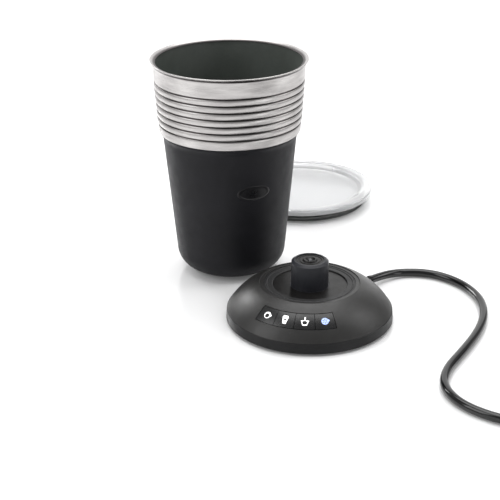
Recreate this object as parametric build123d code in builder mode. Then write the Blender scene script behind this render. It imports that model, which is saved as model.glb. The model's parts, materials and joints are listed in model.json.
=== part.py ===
from build123d import *
import math
import os

# Automatic milk frother: a cup with a magnetic whisk, a round power base with a drive post,
# and a clear lid, standing side by side on one surface. Millimetres, +Z up, origin at the
# bottom centre of the three pieces' box.

os.makedirs("parts", exist_ok=True)

# ---------------------------------------------------------------- driving dimensions
SPAN_X = 180.8  # width over cup and lid
SPAN_Y = 356.9  # depth over base and lid

# Power base
BASE_R = 60.0  # tray at its widest
TRAY_BOTTOM = 1.2
TRAY_TOP = 9.0  # tray wall meets the dome here
FLOOR_TOP = 3.2
DOME_R = 59.0
DOME_TOP_R = 36.0
DOME_TOP = 28.4
DOME_BULGE = 2.4  # how far the dome's arc stands out from its chord
COVER_WALL = 2.0
LEDGE_TOP = 27.8
SHELF_TOP = 26.0
SHELF_BOTTOM = 24.4
RING_R = 33.0
RECESS_R = 26.5
RECESS_FLOOR = 26.6
POST_R = 13.3
POST_WALL = 1.5
POST_COLLAR_R = 14.2  # where the post passes through the plate
POST_FOOT = 26.4  # the post's plain wall starts here
POST_TOP = 45.8
SCREW_RING = 48.0
SCREW_BEARING = 28.0
FOOT_RING = 50.0
FOOT_BEARING = -17.0

# Keys, set in the dome in one row
KEY_COUNT = 4
KEY_PITCH = 16.4  # degrees round the base
KEY_START = -137.4  # bearing of the row's first edge
KEY_GAP = 0.4
KEY_INNER_R = 43.8
KEY_OUTER_R = 53.0
KEY_SINK = 0.15  # key face below the dome's surface
KEY_DEPTH = 3.3

# Drive
MOTOR_R = 10.2
MOTOR_BOTTOM = 3.8
MOTOR_TOP = 29.0
SHAFT_R = 1.0
ROTOR_R = 10.6
ROTOR_BOTTOM = 31.5
ROTOR_TOP = 41.5

# Cup
LIP_R = 59.2
LIP_TOP = 166.4
BAND_TOP_R = 57.1
BAND_TOP = 165.0
BAND_LOW_R = 53.5
BAND_LOW = 111.9
SHEET = 0.8
GROOVE_FIRST = 119.0
GROOVE_PITCH = 5.3
GROOVE_COUNT = 7
SLEEVE_FOOT_R = 40.3
SLEEVE_FOOT = 1.3
SLEEVE_TOP_R = 50.5
SLEEVE_TOP = 107.6
SLEEVE_CORNER = 16.5
SLEEVE_HOLE_R = 31.6
CUP_FOOT_R = 25.8
SOCKET_R = 13.7
SOCKET_ROOF = 20.4
COLUMN_R = 16.2
COLUMN_TOP = 22.4
POT_FLOOR = 7.1
EMBLEM_HEIGHT = 76.0
EMBLEM_BEARING = -68.0

# Lid
LID_R = 62.4
LID_TOP = 13.4
LID_RIM = 8.4  # lower edge of the rim
LID_FLOOR = 10.2
LID_WALL = 2.0
LID_PLUG_R = 53.5

# Mains lead
CORD_R = 3.1
CORD_Z = 3.15  # centre line on the surface
EXIT_BEARING = 46.8
EXIT_Z = 5.4
EXIT_LENGTH = 12.0
COIL_R = 34.0
COIL_HALF_WIDTH = 6.4
COIL_HEIGHT = 11.7
PLUG_Z = 13.0
PLUG_WIDTH = 36.0
PLUG_THICK = 25.8

# ---------------------------------------------------------------- places and planes
BASE_AT = (25.8, BASE_R - SPAN_Y / 2)
CUP_AT = (LIP_R - SPAN_X / 2, -21.95)
LID_AT = (SPAN_X / 2 - LID_R, SPAN_Y / 2 - LID_R)


def up_axis(centre):
    """Vertical axis through a point of the surface."""
    return Axis((*centre, 0), (0, 0, 1))


def level(centre, height):
    """Horizontal plane at a height above the surface."""
    return Plane(origin=(*centre, height))


def upright(centre, bearing=0.0):
    """Vertical plane: local x runs out along the bearing and local y is up."""
    out = Vector(1, 0, 0).rotate(Axis.Z, bearing)
    return Plane(origin=(*centre, 0), x_dir=out, z_dir=out.cross(Vector(0, 0, 1)))


def outline(points, plane):
    """Straight-sided face through radius and height pairs."""
    with BuildSketch(plane) as face:
        with BuildLine():
            Polyline(*points, close=True)
        make_face()
    return face.sketch


def save(piece, name):
    """Label a finished piece and write it."""
    piece.part.label = name
    export_step(piece.part, f"parts/{name}.step")


BASE_SIDE = upright(BASE_AT)
CUP_SIDE = upright(CUP_AT)
LID_SIDE = upright(LID_AT)
BASE_AXIS = up_axis(BASE_AT)
CUP_AXIS = up_axis(CUP_AT)
LID_AXIS = up_axis(LID_AT)

# ---------------------------------------------------------------- the dome's arc
CHORD = math.dist((DOME_R, TRAY_TOP), (DOME_TOP_R, DOME_TOP))
ARC_R = (CHORD**2 / 4 + DOME_BULGE**2) / (2 * DOME_BULGE)
CHORD_OUT = ((DOME_TOP - TRAY_TOP) / CHORD, (DOME_R - DOME_TOP_R) / CHORD)
ARC_X = (DOME_R + DOME_TOP_R) / 2 - CHORD_OUT[0] * (ARC_R - DOME_BULGE)
ARC_Z = (TRAY_TOP + DOME_TOP) / 2 - CHORD_OUT[1] * (ARC_R - DOME_BULGE)


def arc_angle(radius, depth=0.0):
    """Angle, from the horizontal, where the arc at a depth is at a radius from the base's axis."""
    return math.degrees(math.acos((radius - ARC_X) / (ARC_R - depth)))


def on_dome(angle, depth=0.0):
    """Radius and height of a point at a depth below the dome's surface."""
    reach = ARC_R - depth
    turn = math.radians(angle)
    return (ARC_X + reach * math.cos(turn), ARC_Z + reach * math.sin(turn))


def dome_band(low, high, shallow, deep, plane):
    """Face between two angles of the dome's arc and two depths below its surface."""
    with BuildSketch(plane) as face:
        with BuildLine():
            outer = CenterArc((ARC_X, ARC_Z), ARC_R - shallow, low, high - low)
            inner = CenterArc((ARC_X, ARC_Z), ARC_R - deep, low, high - low)
            Line(outer @ 0, inner @ 0)
            Line(outer @ 1, inner @ 1)
        make_face()
    return face.sketch


def dome_plane(bearing, angle, depth):
    """Plane touching the dome's arc: local x runs round the base, local y up the slope."""
    radius, height = on_dome(angle, depth)
    out = Vector(1, 0, 0).rotate(Axis.Z, bearing)
    turn = math.radians(angle)
    normal = out * math.cos(turn) + Vector(0, 0, math.sin(turn))
    place = Vector(*BASE_AT, 0) + out * radius + Vector(0, 0, height)
    return Plane(origin=place, x_dir=Vector(0, 0, 1).cross(out), z_dir=normal)


KEY_LOW = arc_angle(KEY_OUTER_R)
KEY_HIGH = arc_angle(KEY_INNER_R)
KEY_MIDDLE = (KEY_LOW + KEY_HIGH) / 2
GAP_ANGLE = math.degrees(KEY_GAP / 2 / ARC_R)
GAP_BEARING = math.degrees(KEY_GAP / 2 / KEY_OUTER_R)
KEY_BEARINGS = [KEY_START + KEY_PITCH * (i + 0.5) for i in range(KEY_COUNT)]
EXIT_SIDE = upright(BASE_AT, EXIT_BEARING)
EXIT_OUT = EXIT_SIDE.x_dir


def exit_plane(radius):
    """Plane across the lead's way out, at a radius from the base's axis."""
    place = Vector(*BASE_AT, EXIT_Z) + EXIT_OUT * radius
    return Plane(origin=place, x_dir=Vector(0, 0, 1), z_dir=EXIT_OUT)


# ---------------------------------------------------------------- power base: casing
TRAY_INNER_R = 57.4
RIB_INNER_R = 38.0
RIB_OUTER_R = 40.0
BOARD_BOTTOM = 6.0
BOARD_TOP = 7.6
BOSS_SPLIT = 6.0
FOOT_R = 5.5
FOOT_POCKET = 0.7
RELIEF_R = 3.8

with BuildPart() as bottom_tray:
    tray_section = [
        (0, TRAY_BOTTOM),
        (BASE_R - 0.9, TRAY_BOTTOM),
        (BASE_R, TRAY_BOTTOM + 0.9),
        (DOME_R + 0.4, TRAY_TOP - 0.4),
        (DOME_R, TRAY_TOP),
        (TRAY_INNER_R, TRAY_TOP),
        (TRAY_INNER_R, FLOOR_TOP),
        (RIB_OUTER_R, FLOOR_TOP),
        (RIB_OUTER_R, BOARD_BOTTOM - 0.1),
        (RIB_INNER_R, BOARD_BOTTOM - 0.1),
        (RIB_INNER_R, FLOOR_TOP),
        (0, FLOOR_TOP),
    ]
    revolve(outline(tray_section, BASE_SIDE), axis=BASE_AXIS)
    with BuildSketch(level(BASE_AT, FLOOR_TOP)):
        with PolarLocations(SCREW_RING, 4, SCREW_BEARING):
            Circle(4.5)
    extrude(amount=BOSS_SPLIT - 0.1 - FLOOR_TOP)
    with BuildSketch(level(BASE_AT, TRAY_BOTTOM)):
        with PolarLocations(SCREW_RING, 4, SCREW_BEARING):
            Circle(3.1)
    extrude(amount=3.0, mode=Mode.SUBTRACT)
    with BuildSketch(level(BASE_AT, TRAY_BOTTOM)):
        with PolarLocations(SCREW_RING, 4, SCREW_BEARING):
            Circle(1.5)
    extrude(amount=BOSS_SPLIT, mode=Mode.SUBTRACT)
    with BuildSketch(level(BASE_AT, TRAY_BOTTOM)):
        with PolarLocations(FOOT_RING, 4, FOOT_BEARING):
            Circle(FOOT_R + 0.1)
    extrude(amount=FOOT_POCKET, mode=Mode.SUBTRACT)
    with BuildSketch(exit_plane(TRAY_INNER_R - 0.1)):
        Circle(RELIEF_R + 0.1)
    extrude(amount=5.0, mode=Mode.SUBTRACT)
save(bottom_tray, "bottom_tray")

with BuildPart() as top_cover:
    # The dome's wall, the ledge round the seat and the shelf below it.
    under_high = arc_angle(DOME_TOP_R, COVER_WALL)
    under_low = arc_angle(TRAY_INNER_R - 1.6, COVER_WALL)
    with BuildSketch(BASE_SIDE):
        with BuildLine():
            skin = CenterArc(
                (ARC_X, ARC_Z),
                ARC_R,
                arc_angle(DOME_R),
                arc_angle(DOME_TOP_R) - arc_angle(DOME_R),
            )
            Polyline(
                skin @ 1,
                (DOME_TOP_R - 0.3, LEDGE_TOP),
                (RING_R + 0.1, LEDGE_TOP),
                (RING_R + 0.1, SHELF_TOP),
                (RECESS_R + 1.4, SHELF_TOP),
                (RECESS_R + 1.4, SHELF_BOTTOM),
                (RING_R + 1.5, SHELF_BOTTOM),
                on_dome(under_high, COVER_WALL),
            )
            under = CenterArc((ARC_X, ARC_Z), ARC_R - COVER_WALL, under_high, under_low - under_high)
            Polyline(
                under @ 1,
                (TRAY_INNER_R - 1.6, BOSS_SPLIT),
                (TRAY_INNER_R - 0.2, BOSS_SPLIT),
                (TRAY_INNER_R - 0.2, TRAY_TOP),
                skin @ 0,
            )
        make_face()
    revolve(axis=BASE_AXIS)
    with BuildSketch(level(BASE_AT, BOSS_SPLIT)):
        with PolarLocations(SCREW_RING, 4, SCREW_BEARING):
            Circle(3.4)
    extrude(amount=11.0)
    with BuildSketch(level(BASE_AT, BOSS_SPLIT)):
        with PolarLocations(SCREW_RING, 4, SCREW_BEARING):
            Circle(1.25)
    extrude(amount=7.0, mode=Mode.SUBTRACT)
    window = dome_band(
        KEY_LOW - GAP_ANGLE,
        KEY_HIGH + GAP_ANGLE,
        -3.0,
        COVER_WALL + 1.0,
        upright(BASE_AT, KEY_START - GAP_BEARING),
    )
    revolve(
        window,
        axis=BASE_AXIS,
        revolution_arc=KEY_COUNT * KEY_PITCH + 2 * GAP_BEARING,
        mode=Mode.SUBTRACT,
    )
    with BuildSketch(exit_plane(54.0)):
        Circle(RELIEF_R + 0.1)
    extrude(amount=8.0, mode=Mode.SUBTRACT)
save(top_cover, "top_cover")

with BuildPart() as seat_ring:
    # Soft ring with one raised bead, round the recess.
    with BuildSketch(BASE_SIDE):
        with BuildLine():
            Polyline((31.6, 27.5), (RING_R, 27.5), (RING_R, SHELF_TOP + 0.05))
            Line((RING_R, SHELF_TOP + 0.05), (RECESS_R + 0.05, SHELF_TOP + 0.05))
            Polyline((RECESS_R + 0.05, SHELF_TOP + 0.05), (RECESS_R + 0.05, 27.0))
            Polyline((RECESS_R + 0.05, 27.0), (RECESS_R + 0.6, 27.5), (30.4, 27.5))
            ThreePointArc((30.4, 27.5), (31.0, 27.8), (31.6, 27.5))
        make_face()
    revolve(axis=BASE_AXIS)
save(seat_ring, "seat_ring")

with BuildPart() as seat_plate:
    # Heat-resistant plate over the induction coil: the recess's floor.
    seat_section = [
        (POST_COLLAR_R + 0.1, SHELF_BOTTOM + 0.2),
        (RECESS_R + 1.3, SHELF_BOTTOM + 0.2),
        (RECESS_R + 1.3, SHELF_TOP),
        (RECESS_R, SHELF_TOP),
        (RECESS_R, RECESS_FLOOR),
        (POST_COLLAR_R + 0.1, RECESS_FLOOR),
    ]
    revolve(outline(seat_section, BASE_SIDE), axis=BASE_AXIS)
save(seat_plate, "seat_plate")

POST_BORE = POST_R - POST_WALL
CAP_R = 10.1
CAP_FLOOR = POST_TOP - 1.1
STUD_R = 1.7

with BuildPart() as post_housing:
    post_section = [
        (POST_BORE, 22.8),
        (16.0, 22.8),
        (16.0, SHELF_BOTTOM + 0.1),
        (POST_COLLAR_R, SHELF_BOTTOM + 0.1),
        (POST_COLLAR_R, POST_FOOT),
        (POST_R, POST_FOOT),
        (POST_R, POST_TOP - 1.3),
        (POST_R - 1.8, POST_TOP),
        (CAP_R + 0.1, POST_TOP),
        (CAP_R + 0.1, CAP_FLOOR),
        (2.6, CAP_FLOOR),
        (2.6, CAP_FLOOR - 1.0),
        (POST_BORE, CAP_FLOOR - 1.0),
    ]
    revolve(outline(post_section, BASE_SIDE), axis=BASE_AXIS)
save(post_housing, "post_housing")

with BuildPart() as post_cap:
    # Inset disc with a ring groove and a dished boss round the sensor.
    cap_top = POST_TOP - 0.5
    cap_section = [
        (STUD_R + 0.2, CAP_FLOOR + 0.05),
        (CAP_R, CAP_FLOOR + 0.05),
        (CAP_R, cap_top),
        (8.6, cap_top),
        (8.2, cap_top - 0.35),
        (7.4, cap_top - 0.35),
        (7.0, cap_top),
        (5.4, cap_top),
        (4.6, cap_top + 0.9),
        (3.8, cap_top + 0.9),
        (2.4, cap_top),
        (STUD_R + 0.2, cap_top),
    ]
    revolve(outline(cap_section, BASE_SIDE), axis=BASE_AXIS)
save(post_cap, "post_cap")

with BuildPart() as sensor_stud:
    stud_section = [
        (0, 42.6),
        (3.6, 42.6),
        (3.6, CAP_FLOOR - 1.1),
        (STUD_R, CAP_FLOOR - 1.1),
        (STUD_R, POST_TOP - 0.3),
        (STUD_R - 0.5, POST_TOP + 0.1),
        (0, POST_TOP + 0.2),
    ]
    revolve(outline(stud_section, BASE_SIDE), axis=BASE_AXIS)
save(sensor_stud, "sensor_stud")

with BuildPart() as rubber_feet:
    with BuildSketch(level(BASE_AT, 0)):
        with PolarLocations(FOOT_RING, 4, FOOT_BEARING):
            Circle(FOOT_R)
    extrude(amount=TRAY_BOTTOM + FOOT_POCKET - 0.05)
save(rubber_feet, "rubber_feet")

with BuildPart() as tray_screws:
    with BuildSketch(level(BASE_AT, TRAY_BOTTOM + 1.4)):
        with PolarLocations(SCREW_RING, 4, SCREW_BEARING):
            Circle(2.9)
    extrude(amount=1.55)
    with BuildSketch(level(BASE_AT, TRAY_BOTTOM + 2.9)):
        with PolarLocations(SCREW_RING, 4, SCREW_BEARING):
            Circle(1.2)
    extrude(amount=8.2)
save(tray_screws, "tray_screws")


# ---------------------------------------------------------------- keys and their lit icons
ICON_FACE = 0.1  # lit face below the dome's surface
ICON_DEPTH = 0.9


def mug_icon(plane):
    """Round mug seen from above, with its handle."""
    with BuildSketch(plane) as icon:
        Circle(2.5)
        with Locations((2.4, 0.3)):
            Circle(0.8)
        with Locations((-0.1, -0.4)):
            Circle(1.6, mode=Mode.SUBTRACT)
    return icon.sketch


def latte_icon(plane):
    """Tall glass, wide at the top, with a band across it."""
    with BuildSketch(plane) as icon:
        with BuildLine():
            Polyline(
                (-1.2, -3.1),
                (1.2, -3.1),
                (2.2, 1.9),
                (1.5, 3.1),
                (-1.5, 3.1),
                (-2.2, 1.9),
                close=True,
            )
        make_face()
        Rectangle(2.2, 0.9, mode=Mode.SUBTRACT)
    return icon.sketch


def stirred_cup_icon(plane):
    """Cup from the side with a stirrer standing in it."""
    with BuildSketch(plane) as icon:
        with BuildLine():
            Polyline((-2.8, 0.9), (-1.6, -2.9), (1.6, -2.9), (3.0, 0.9), close=True)
        make_face()
        with Locations((0, -0.8)):
            Ellipse(1.7, 1.4, mode=Mode.SUBTRACT)
        with Locations((0.1, 2.1)):
            Rectangle(0.9, 2.5)
    return icon.sketch


def cold_icon(plane):
    """Round cup seen from above with a six-armed cold mark cut through it."""
    with BuildSketch(plane) as icon:
        Circle(2.5)
        with Locations((2.5, 0.3)):
            Circle(0.8)
        with PolarLocations(1.25, 6, 30):
            Rectangle(1.2, 0.4, mode=Mode.SUBTRACT)
    return icon.sketch


KEYS = [("mug", mug_icon), ("latte", latte_icon), ("stirred", stirred_cup_icon), ("cold", cold_icon)]

for (key_name, draw_icon), key_bearing in zip(KEYS, KEY_BEARINGS):
    face_plane = dome_plane(key_bearing, KEY_MIDDLE, 0)
    first = key_bearing - KEY_PITCH / 2 + GAP_BEARING
    turn_by = KEY_PITCH - 2 * GAP_BEARING
    key_side = upright(BASE_AT, first)
    low = KEY_LOW + GAP_ANGLE
    high = KEY_HIGH - GAP_ANGLE
    with BuildPart() as icon:
        extrude(draw_icon(face_plane.offset(1.0)), amount=-3.0)
        band = dome_band(low, high, ICON_FACE, ICON_DEPTH, key_side)
        revolve(band, axis=BASE_AXIS, revolution_arc=turn_by, mode=Mode.INTERSECT)
    save(icon, f"{key_name}_icon")
    with BuildPart() as key:
        body = dome_band(low, high, KEY_SINK, KEY_DEPTH, key_side)
        revolve(body, axis=BASE_AXIS, revolution_arc=turn_by)
        flange = dome_band(low - 1.4, high + 1.4, COVER_WALL + 0.4, KEY_DEPTH, key_side)
        revolve(flange, axis=BASE_AXIS, revolution_arc=turn_by)
        with BuildSketch(face_plane.offset(-KEY_DEPTH + 0.3)):
            Circle(1.5)
        extrude(amount=-2.2)
        add(icon.part, mode=Mode.SUBTRACT)
    save(key, f"{key_name}_key")

KEY_BOARD_DEPTH = 8.0

with BuildPart() as key_board:
    board_side = upright(BASE_AT, KEY_START)
    board_band = dome_band(KEY_LOW, KEY_HIGH, KEY_BOARD_DEPTH, KEY_BOARD_DEPTH + 1.0, board_side)
    revolve(board_band, axis=BASE_AXIS, revolution_arc=KEY_COUNT * KEY_PITCH)
save(key_board, "key_board")


def on_board(size, across, height):
    """One block on the key board under each key, a distance across from the key's middle."""
    for bearing in KEY_BEARINGS:
        with BuildSketch(dome_plane(bearing, KEY_MIDDLE, KEY_BOARD_DEPTH + 0.3)) as footprint:
            with Locations((across, 0)):
                Rectangle(size, size)
        yield extrude(footprint.sketch, amount=height + 0.3, mode=Mode.PRIVATE)


with BuildPart() as key_switches:
    for block in on_board(4.4, 0.0, 2.1):
        add(block)
    add(key_board.part, mode=Mode.SUBTRACT)
save(key_switches, "key_switches")

with BuildPart() as indicator_leds:
    for block in on_board(1.6, 4.2, 1.2):
        add(block)
    add(key_board.part, mode=Mode.SUBTRACT)
save(indicator_leds, "indicator_leds")

# ---------------------------------------------------------------- induction heater
CARRIER_BOTTOM = 19.2
BAR_COUNT = 6
LEG_RING = 29.5
COIL_TURNS = 7
COIL_INNER_R = 18.0
TURN_PITCH = 1.8
COIL_TOP = 24.0

with BuildPart() as coil_carrier:
    carrier_section = [
        (16.6, CARRIER_BOTTOM),
        (32.0, CARRIER_BOTTOM),
        (32.0, COIL_TOP),
        (31.0, COIL_TOP),
        (31.0, 21.0),
        (17.6, 21.0),
        (17.6, 22.6),
        (16.6, 22.6),
    ]
    revolve(outline(carrier_section, BASE_SIDE), axis=BASE_AXIS)
    with BuildSketch(level(BASE_AT, FLOOR_TOP)):
        with PolarLocations(LEG_RING, 3, 30):
            Circle(2.2)
    extrude(amount=CARRIER_BOTTOM - FLOOR_TOP)
save(coil_carrier, "coil_carrier")

with BuildPart() as induction_coil:
    with BuildSketch(BASE_SIDE):
        with BuildLine():
            coil_end_r = COIL_INNER_R + COIL_TURNS * TURN_PITCH
            for turn_index in range(COIL_TURNS):
                start_r = COIL_INNER_R + turn_index * TURN_PITCH
                ThreePointArc(
                    (start_r, COIL_TOP - 0.6),
                    (start_r + TURN_PITCH / 2, COIL_TOP),
                    (start_r + TURN_PITCH, COIL_TOP - 0.6),
                )
            Polyline(
                (COIL_INNER_R, COIL_TOP - 0.6),
                (COIL_INNER_R, 21.1),
                (coil_end_r, 21.1),
                (coil_end_r, COIL_TOP - 0.6),
            )
        make_face()
    revolve(axis=BASE_AXIS)
save(induction_coil, "induction_coil")

with BuildPart() as ferrite_bars:
    with BuildSketch(level(BASE_AT, CARRIER_BOTTOM - 3.0)):
        with PolarLocations(24.3, BAR_COUNT, 0):
            Rectangle(13.0, 6.0)
    extrude(amount=2.9)
save(ferrite_bars, "ferrite_bars")

# ---------------------------------------------------------------- electronics and lead entry
with BuildPart() as power_board:
    with BuildSketch(level(BASE_AT, BOARD_BOTTOM)):
        Circle(42.5)
        Circle(18.5, mode=Mode.SUBTRACT)
        with PolarLocations(LEG_RING, 3, 30):
            Circle(2.6, mode=Mode.SUBTRACT)
    extrude(amount=BOARD_TOP - BOARD_BOTTOM)
save(power_board, "power_board")

PART_RING = 35.0
BOARD_BLOCKS = [(180, 14, 12, 7.5), (60, 8, 14, 6.0), (0, 9, 16, 7.0), (215, 5, 8, 5.0)]

with BuildPart() as power_parts:
    with BuildSketch(level(BASE_AT, BOARD_TOP)):
        with PolarLocations(PART_RING, 2, 95, angular_range=30):
            Circle(4.6)
    extrude(amount=7.6)
    for bearing, deep, wide, tall in BOARD_BLOCKS:
        with BuildSketch(level(BASE_AT, BOARD_TOP)):
            with PolarLocations(PART_RING, 1, bearing):
                Rectangle(deep, wide)
        extrude(amount=tall)
save(power_parts, "power_parts")

with BuildPart() as cord_clamp:
    with BuildSketch(level(BASE_AT, FLOOR_TOP)):
        with PolarLocations(50.3, 1, EXIT_BEARING):
            Rectangle(5.0, 16.0)
    extrude(amount=5.6)
save(cord_clamp, "cord_clamp")

with BuildPart() as strain_relief:
    # Ribbed sleeve round the lead, tapering outwards; inside the wall it stands on the floor.
    tip = BASE_R + EXIT_LENGTH
    rib_count = 3
    rib_pitch = 3.2
    relief_at = EXIT_SIDE.origin + Vector(0, 0, EXIT_Z)
    with BuildSketch(Plane(origin=relief_at, x_dir=EXIT_OUT, z_dir=EXIT_SIDE.z_dir)):
        with BuildLine():
            lower = [(53.5, 0), (53.5, RELIEF_R)]
            ribs = []
            for rib in range(rib_count):
                at = BASE_R + 0.8 + rib * rib_pitch
                size = RELIEF_R - 0.02 * (at - BASE_R)
                groove = size - 0.6
                ribs += [(at, size), (at + 0.6, groove), (at + 1.4, groove), (at + 2.0, size - 0.05)]
            end = [(tip - 0.5, CORD_R + 0.35), (tip, CORD_R + 0.1), (tip, 0)]
            Polyline(*lower, *ribs, *end, close=True)
        make_face()
    revolve(axis=Axis(relief_at, EXIT_OUT))
    with BuildSketch(level(BASE_AT, 0)):
        with PolarLocations(TRAY_INNER_R - 5.1, 1, EXIT_BEARING):
            Rectangle(10.0, 12.0)
    extrude(amount=FLOOR_TOP + 0.05, mode=Mode.SUBTRACT)
save(strain_relief, "strain_relief")

# ---------------------------------------------------------------- drive motor and rotor
with BuildPart() as motor_bracket:
    bracket_section = [
        (6.0, FLOOR_TOP),
        (17.0, FLOOR_TOP),
        (17.0, 5.2),
        (12.3, 5.2),
        (12.3, 15.0),
        (MOTOR_R + 0.05, 15.0),
        (MOTOR_R + 0.05, MOTOR_BOTTOM - 0.02),
        (6.0, MOTOR_BOTTOM - 0.02),
    ]
    revolve(outline(bracket_section, BASE_SIDE), axis=BASE_AXIS)
save(motor_bracket, "motor_bracket")

with BuildPart() as motor_can:
    can_section = [
        (0, MOTOR_BOTTOM),
        (MOTOR_R, MOTOR_BOTTOM),
        (MOTOR_R, MOTOR_TOP),
        (3.0, MOTOR_TOP),
        (3.0, MOTOR_TOP - 0.8),
        (MOTOR_R - 0.8, MOTOR_TOP - 0.8),
        (MOTOR_R - 0.8, MOTOR_BOTTOM + 0.8),
        (0, MOTOR_BOTTOM + 0.8),
    ]
    revolve(outline(can_section, BASE_SIDE), axis=BASE_AXIS)
save(motor_can, "motor_can")

with BuildPart() as field_magnets:
    for first in (-60, 120):
        magnet_section = [(8.15, 8.0), (MOTOR_R - 0.85, 8.0), (MOTOR_R - 0.85, 24.0), (8.15, 24.0)]
        revolve(outline(magnet_section, upright(BASE_AT, first)), axis=BASE_AXIS, revolution_arc=120)
save(field_magnets, "field_magnets")

with BuildPart() as shaft_bush:
    bush_section = [
        (SHAFT_R + 0.04, MOTOR_TOP - 1.8),
        (2.95, MOTOR_TOP - 1.8),
        (2.95, MOTOR_TOP + 1.0),
        (SHAFT_R + 0.04, MOTOR_TOP + 1.0),
    ]
    revolve(outline(bush_section, BASE_SIDE), axis=BASE_AXIS)
save(shaft_bush, "shaft_bush")

with BuildPart() as motor_shaft:
    with BuildSketch(level(BASE_AT, 5.2)):
        Circle(SHAFT_R)
    extrude(amount=36.8)
save(motor_shaft, "motor_shaft")

with BuildPart() as motor_armature:
    with BuildSketch(level(BASE_AT, 8.5)):
        Circle(7.8)
        with PolarLocations(7.8, 5):
            Rectangle(3.0, 1.6, mode=Mode.SUBTRACT)
        Circle(SHAFT_R, mode=Mode.SUBTRACT)
    extrude(amount=15.0)
save(motor_armature, "motor_armature")

with BuildPart() as magnet_carrier:
    with BuildSketch(level(BASE_AT, ROTOR_BOTTOM)):
        Circle(ROTOR_R)
        Circle(SHAFT_R, mode=Mode.SUBTRACT)
    extrude(amount=ROTOR_TOP - ROTOR_BOTTOM)
    with BuildSketch(level(BASE_AT, ROTOR_TOP)):
        with PolarLocations(6.4, 4):
            Circle(2.8)
    extrude(amount=-5.0, mode=Mode.SUBTRACT)
save(magnet_carrier, "magnet_carrier")

with BuildPart() as drive_magnets:
    with BuildSketch(level(BASE_AT, ROTOR_TOP - 5.0)):
        with PolarLocations(6.4, 4):
            Circle(2.75)
    extrude(amount=5.0)
save(drive_magnets, "drive_magnets")


# ---------------------------------------------------------------- cup
def band_radius(height):
    """Outer radius of the steel band's plain wall at a height."""
    share = (height - BAND_LOW) / (BAND_TOP - BAND_LOW)
    return BAND_LOW_R + share * (BAND_TOP_R - BAND_LOW_R)


def sleeve_radius(height):
    """Outer radius of the sleeve's wall at a height."""
    share = (height - SLEEVE_FOOT) / (SLEEVE_TOP - SLEEVE_FOOT)
    return SLEEVE_FOOT_R + share * (SLEEVE_TOP_R - SLEEVE_FOOT_R)


GROOVE_HALF = 0.7
GROOVE_DEEP = 0.5
BEAD_OUT = 0.15

with BuildPart() as steel_band:
    # Beaded collar, turned in at the bottom and flared to a rounded lip at the top.
    with BuildSketch(CUP_SIDE):
        with BuildLine():
            last = (band_radius(BAND_LOW), BAND_LOW)
            for groove in range(GROOVE_COUNT):
                middle = GROOVE_FIRST + groove * GROOVE_PITCH
                foot = (band_radius(middle - GROOVE_HALF), middle - GROOVE_HALF)
                head = (band_radius(middle + GROOVE_HALF), middle + GROOVE_HALF)
                bead_z = (last[1] + foot[1]) / 2
                ThreePointArc(last, (band_radius(bead_z) + BEAD_OUT, bead_z), foot)
                ThreePointArc(foot, (band_radius(middle) - GROOVE_DEEP, middle), head)
                last = head
            Polyline(last, (band_radius(163.6), 163.6), (LIP_R - 0.5, LIP_TOP - 0.9))
            ThreePointArc((LIP_R - 0.5, LIP_TOP - 0.9), (LIP_R, LIP_TOP - 0.4), (LIP_R - 0.6, LIP_TOP))
            Polyline(
                (LIP_R - 0.6, LIP_TOP),
                (BAND_TOP_R - 0.4, LIP_TOP - 1.0),
                (band_radius(164.4) - SHEET, 164.4),
                (band_radius(BAND_LOW + SHEET) - SHEET, BAND_LOW + SHEET),
                (50.6, BAND_LOW + SHEET),
                (50.6, BAND_LOW),
                (band_radius(BAND_LOW), BAND_LOW),
            )
        make_face()
    revolve(axis=CUP_AXIS)
save(steel_band, "steel_band")

POT_SHEET = 0.7
POT_RIM = (56.1, 164.2)
POT_SHOULDER = (52.4, 116.5)
POT_NECK = (47.2, 108.5)
POT_LOW = (36.3, POT_FLOOR)
POT_CORNER = 9.0
POT_BEND = 6.0  # at the neck and the shoulder
STUD_RING = 20.5


def inward(point):
    """The same point on the pot's inner side."""
    return (point[0] - POT_SHEET, point[1])


def soften(sketch, corner, radius):
    """Round the sketch's corner nearest to a radius and height."""
    fillet(sketch.vertices().sort_by_distance(corner)[0], radius)


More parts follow.
